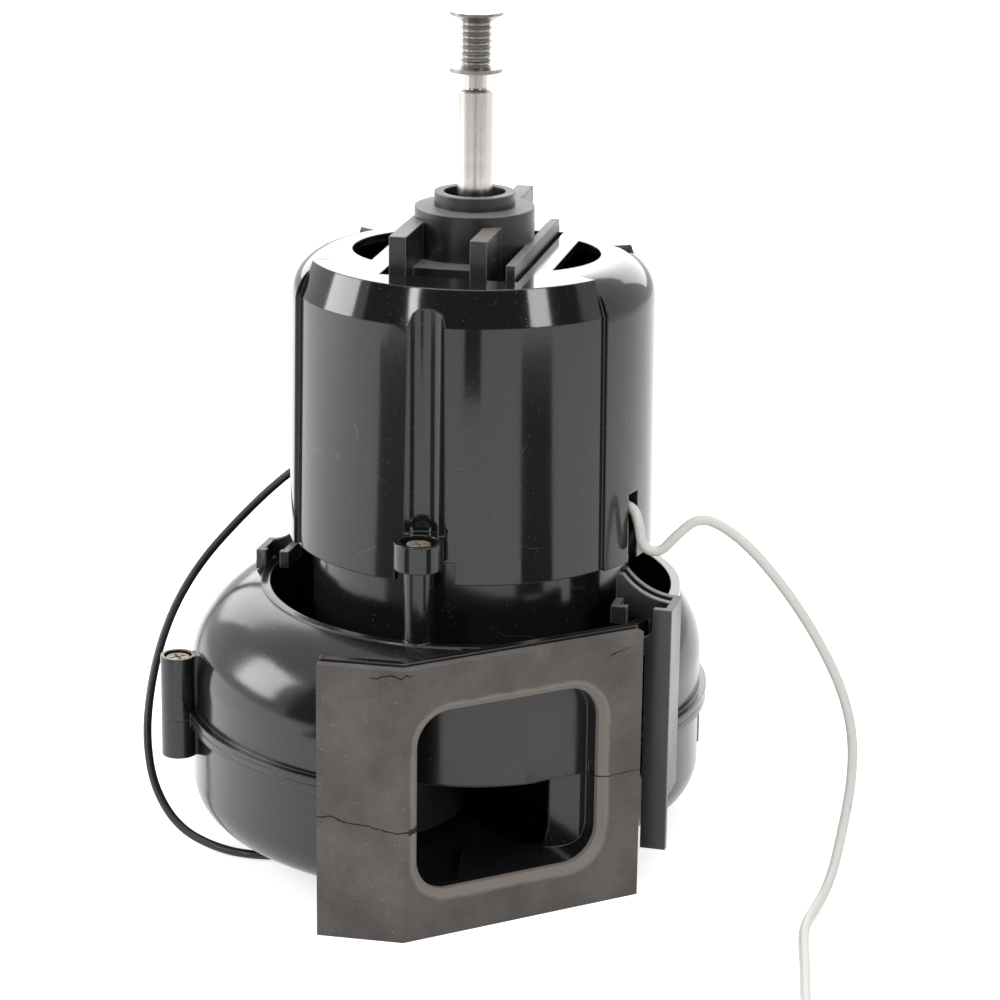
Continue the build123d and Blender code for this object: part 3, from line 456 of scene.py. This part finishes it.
def metal(name, colour, smooth, rough, streak, stretch):
    material = new_material(name, colour, smooth, 1.0)
    graph, shader = node_tools(material)
    drawn = graph.fill("ShaderNodeMapping", {"Vector": graph.place(), "Scale": stretch})["Vector"]
    streaks = graph.noise(drawn, scale=streak, detail=6)
    polish = graph.spread(streaks, low=0.3, high=0.7, start=smooth, end=rough)
    graph.put(polish, shader["Roughness"])
    stain = graph.mask(grime, Scale=220, Cover=0.30, Lying=0.05)
    stained = [value * share for value, share in zip(colour, stain_shares)]
    graph.put(graph.blend((*colour, 1), (*stained, 1), stain), shader["Base Color"])
    corner = graph.rounded(radius=0.00015, samples=4)
    graph.put(graph.bump(streaks, strength=0.02, distance=0.0001, normal=corner), shader["Normal"])
    return material


turned_steel = metal(
    "turned_steel", (0.56, 0.53, 0.50),
    smooth=0.20, rough=0.30, streak=30, stretch=(1, 1, 6),
)
dark_steel = metal(
    "oiled_steel", (0.30, 0.285, 0.27),
    smooth=0.22, rough=0.4, streak=60, stretch=(1, 1, 6),
)
screw_steel = metal(
    "dusty_screw_steel", (0.36, 0.30, 0.23),
    smooth=0.5, rough=0.8, streak=300, stretch=(1, 1, 1),
)
dress("drive_pulley", dark_steel)
for name in (
    "rotor_shaft",
    "impeller_washer",
    "impeller_nut",
    "impeller_sleeve",
    "upper_bearing_outer_race",
    "upper_bearing_inner_race",
    "upper_bearing_balls",
    "lower_bearing_outer_race",
    "lower_bearing_inner_race",
    "lower_bearing_balls",
    "brush_spring_left",
    "brush_spring_right",
):
    dress(name, turned_steel)
for name in nodes:
    if "screw" in name:
        dress(name, screw_steel)


# Inside the motor: lamination stacks, enamelled copper coils, the commutator,
# carbon brushes in brass holders, the rubber ring and the felt seal.
laminations = metal(
    "lamination_steel", (0.20, 0.20, 0.21),
    smooth=0.4, rough=0.6, streak=500, stretch=(0.02, 0.02, 4),
)
enamel = metal(
    "enamelled_copper", (0.55, 0.20, 0.07),
    smooth=0.3, rough=0.45, streak=300, stretch=(1, 1, 1),
)
brass = metal(
    "plain_brass", (0.66, 0.48, 0.20),
    smooth=0.25, rough=0.4, streak=200, stretch=(1, 1, 1),
)
carbon = moulding(
    "pressed_carbon", (0.02, 0.02, 0.02),
    shine=(0.5, 0.7), dust=0.1, lying=0.05, edge=0.1, grain=0.2, scratch=0.0,
)
rubber = moulding(
    "soft_rubber", (0.014, 0.014, 0.014),
    shine=(0.55, 0.75), dust=0.2, lying=0.1, edge=0.1, grain=0.2, scratch=0.0,
)
felt = moulding(
    "grey_felt", (0.20, 0.19, 0.17),
    shine=(0.9, 1.0), dust=0.2, lying=0.1, edge=0.1, grain=0.6, scratch=0.0,
)
for name in ("stator_core", "armature_core"):
    dress(name, laminations)
for name in ("field_coil_front", "field_coil_rear", "armature_winding", "commutator"):
    dress(name, enamel)
for name in ("brush_holder_left", "brush_holder_right", "black_lead_terminal", "white_lead_terminal"):
    dress(name, brass)
for name in ("carbon_brush_left", "carbon_brush_right", "thermal_cutout"):
    dress(name, carbon)
dress("vibration_ring", rubber)
dress("shaft_seal", felt)

# Rating plate: a bare pale sticker on the side of the scroll, where the real
# motor has its printed label. It is thin plastic film, stuck on flat.
label = moulding(
    "bare_pale_plate", (0.42, 0.42, 0.42),
    shine=(0.35, 0.5), dust=0.3, lying=0.1, edge=0.1, grain=0.03, scratch=0.1,
)
dress("rating_plate", label)


# Studio: a pale floor, a white surround, five soft boxes and a dark screen
# behind the camera that the gloss reflects.
def seen_directly(graph):
    path = graph.add("ShaderNodeLightPath").outputs
    seen = graph.maths("MAXIMUM", path["Is Camera Ray"], path["Is Glossy Ray"])
    return graph.maths("MAXIMUM", seen, path["Is Transmission Ray"])


def glowing_floor():
    glow = 0.62
    material = new_material("pale_floor", (0.8, 0.8, 0.8), 1.0)
    graph, shader = node_tools(material)
    shader["Emission Color"].default_value = (1, 1, 1, 1)
    graph.put(graph.maths("MULTIPLY", seen_directly(graph), glow), shader["Emission Strength"])
    return material


def stage_piece(name, shape, material):
    mesh = bpy.data.meshes.new(name)
    shape.to_mesh(mesh)
    shape.free()
    mesh.materials.append(material)
    piece = bpy.data.objects.new(name, mesh)
    bpy.context.scene.collection.objects.link(piece)
    return piece


def show_in_gloss_only(piece):
    piece.visible_camera = False
    piece.visible_diffuse = False
    piece.visible_shadow = False


floor_half = 3.0
floor_shape = bmesh.new()
bmesh.ops.create_grid(floor_shape, x_segments=1, y_segments=1, size=floor_half)
stage_piece("floor", floor_shape, glowing_floor())

world = bpy.data.worlds.new("studio")
world.use_nodes = True
background = world.node_tree.nodes["Background"].inputs
surround = Graph(world.node_tree)
strength = surround.spread(seen_directly(surround), low=0.0, high=1.0, start=0.45, end=1.0)
surround.put(strength, background["Strength"])
background["Color"].default_value = (1, 1, 1, 1)
bpy.context.scene.world = world

toward = Vector((sin(camera_turn), -cos(camera_turn), 0))
light_aim = Vector((0, 0, 0.1))


def soft_box(name, right, near, high, width, height, power):
    data = bpy.data.lights.new(name, "AREA")
    data.shape = "RECTANGLE"
    data.size = width
    data.size_y = height
    data.energy = power
    box = bpy.data.objects.new(name, data)
    spot = side * right + toward * near + Vector((0, 0, high))
    aim = (light_aim - spot).to_track_quat("-Z", "Y")
    box.matrix_world = Matrix.Translation(spot) @ aim.to_matrix().to_4x4()
    bpy.context.scene.collection.objects.link(box)


soft_box("left_box", right=-1.0, near=-0.1, high=0.42, width=0.45, height=0.5, power=6)
soft_box("left_strip", right=-0.62, near=0.72, high=0.50, width=0.10, height=0.5, power=2.5)
soft_box("right_box", right=0.75, near=0.75, high=0.6, width=0.25, height=0.5, power=4)
soft_box("top_box", right=0.0, near=0.1, high=1.1, width=0.8, height=0.8, power=7)
soft_box("back_box", right=0.0, near=-1.2, high=0.60, width=2.0, height=0.7, power=11)

# Dark cards on the table in front of the motor, which only its gloss sees,
# and the shade inside the inlet collar.
card_steps = 12
card_height = 0.001


def floor_card(name, near, far, start, end, high, dark):
    shape = bmesh.new()
    for step in range(card_steps + 1):
        angle = radians(start + (end - start) * step / card_steps)
        for reach in (near, far):
            shape.verts.new((reach * cos(angle), reach * sin(angle), high))
    shape.verts.ensure_lookup_table()
    for step in range(card_steps):
        first = 2 * step
        shape.faces.new([shape.verts[k] for k in (first, first + 1, first + 3, first + 2)])
    return stage_piece(name, shape, new_material(name, (dark, dark, dark), 1.0))


for name, near, far, start, end, dark in (
    ("card_left", 0.24, 0.70, 183, 204, 0.10),
    ("card_right", 0.24, 0.70, 272, 292, 0.04),
    ("card_shaft", 0.62, 0.95, 236, 247, 0.02),
):
    show_in_gloss_only(floor_card(name, near, far, start, end, card_height, dark))
floor_card("inlet_shade", near=0.0001, far=0.021, start=0, end=360, high=0.0003, dark=0.02)

screen_radius = 1.3
screen_half = radians(75)
screen_low = Vector((0, 0, -0.2))
screen_high = Vector((0, 0, 1.2))
screen_shape = bmesh.new()
low_point = screen_shape.verts.new(toward * screen_radius + screen_low)
high_point = screen_shape.verts.new(toward * screen_radius + screen_high)
screen_shape.edges.new((low_point, high_point))
bmesh.ops.rotate(screen_shape, verts=screen_shape.verts[:], matrix=Matrix.Rotation(-screen_half, 3, "Z"))
bmesh.ops.spin(
    screen_shape,
    geom=screen_shape.verts[:] + screen_shape.edges[:],
    angle=2 * screen_half,
    steps=24,
    axis=(0, 0, 1),
    cent=(0, 0, 0),
    use_merge=False,
)
screen = stage_piece("dark_screen", screen_shape, new_material("dark_cloth", (0.01, 0.01, 0.01), 1.0))
show_in_gloss_only(screen)

bpy.context.scene.view_settings.view_transform = "Standard"
